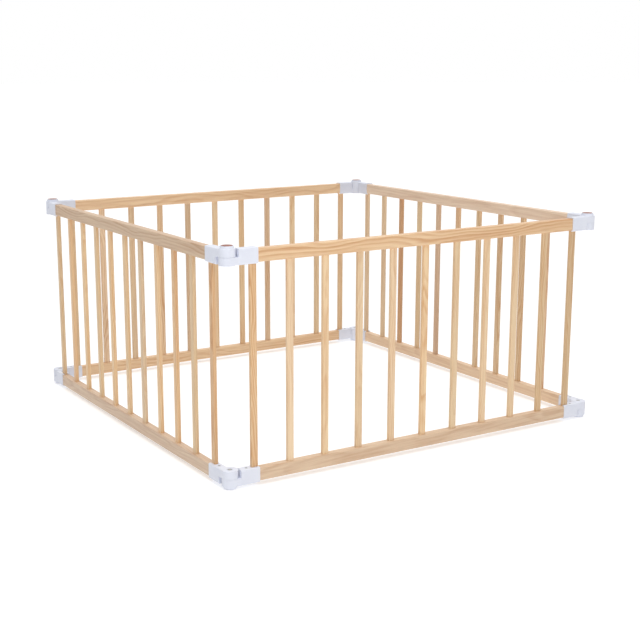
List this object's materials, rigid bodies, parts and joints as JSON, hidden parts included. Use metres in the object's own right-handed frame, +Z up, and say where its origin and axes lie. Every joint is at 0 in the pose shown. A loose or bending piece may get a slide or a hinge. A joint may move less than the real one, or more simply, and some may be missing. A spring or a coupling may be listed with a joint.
{
  "type": "playpen",
  "caption": "Square folding playpen of slatted wooden panels joined at the corners by white plastic hinges, open at the top and the bottom.",
  "frame": {"origin": "middle of the square outline on the floor, under the foot pads", "axes": "+Z up, -Y out of the front panel, +X to the right seen from the front"},
  "size_m": [1.2006, 1.2006, 0.6],
  "materials": {
    "rail_wood": "satin",
    "slat_wood": "satin",
    "white_plastic": "satin",
    "disc_rubber": "matte",
    "zinc_steel": "brushed"
  },
  "bodies": {
    "front_panel": {"front_top_rail": "rail_wood", "front_bottom_rail": "rail_wood", "front_slats": "slat_wood", "front_top_left_bracket": "white_plastic", "front_top_right_bracket": "white_plastic", "front_bottom_left_bracket": "white_plastic", "front_bottom_right_bracket": "white_plastic", "front_screws": "zinc_steel", "front_bolts": "zinc_steel", "front_nuts": "zinc_steel", "front_cap": "disc_rubber", "front_foot_pad": "disc_rubber"},
    "right_panel": {"right_top_rail": "rail_wood", "right_bottom_rail": "rail_wood", "right_slats": "slat_wood", "right_top_left_bracket": "white_plastic", "right_top_right_bracket": "white_plastic", "right_bottom_left_bracket": "white_plastic", "right_bottom_right_bracket": "white_plastic", "right_screws": "zinc_steel", "right_bolts": "zinc_steel", "right_nuts": "zinc_steel", "right_cap": "disc_rubber", "right_foot_pad": "disc_rubber"},
    "back_panel": {"back_top_rail": "rail_wood", "back_bottom_rail": "rail_wood", "back_slats": "slat_wood", "back_top_left_bracket": "white_plastic", "back_top_right_bracket": "white_plastic", "back_bottom_left_bracket": "white_plastic", "back_bottom_right_bracket": "white_plastic", "back_screws": "zinc_steel", "back_bolts": "zinc_steel", "back_nuts": "zinc_steel", "back_cap": "disc_rubber", "back_foot_pad": "disc_rubber"},
    "left_panel": {"left_top_rail": "rail_wood", "left_bottom_rail": "rail_wood", "left_slats": "slat_wood", "left_top_left_bracket": "white_plastic", "left_top_right_bracket": "white_plastic", "left_bottom_left_bracket": "white_plastic", "left_bottom_right_bracket": "white_plastic", "left_screws": "zinc_steel", "left_bolts": "zinc_steel", "left_nuts": "zinc_steel", "left_cap": "disc_rubber", "left_foot_pad": "disc_rubber"}
  },
  "joints": [
    {"name": "front_left_hinge", "type": "hinge", "parent": "front_panel", "child": "left_panel", "pos_m": [-0.5795, -0.5795, 0.3], "axis": [0, 0, 1], "range_deg": [-55, 55]},
    {"name": "front_right_hinge", "type": "hinge", "parent": "front_panel", "child": "right_panel", "pos_m": [0.5795, -0.5795, 0.3], "axis": [0, 0, 1], "range_deg": [-55, 55]},
    {"name": "back_left_hinge", "type": "hinge", "parent": "left_panel", "child": "back_panel", "pos_m": [-0.5795, 0.5795, 0.3], "axis": [0, 0, 1], "range_deg": [-55, 55]}
  ],
  "couplings": [
    {"joint": "front_right_hinge", "follows": "front_left_hinge", "ratio": 1},
    {"joint": "back_left_hinge", "follows": "front_left_hinge", "ratio": -1}
  ]
}
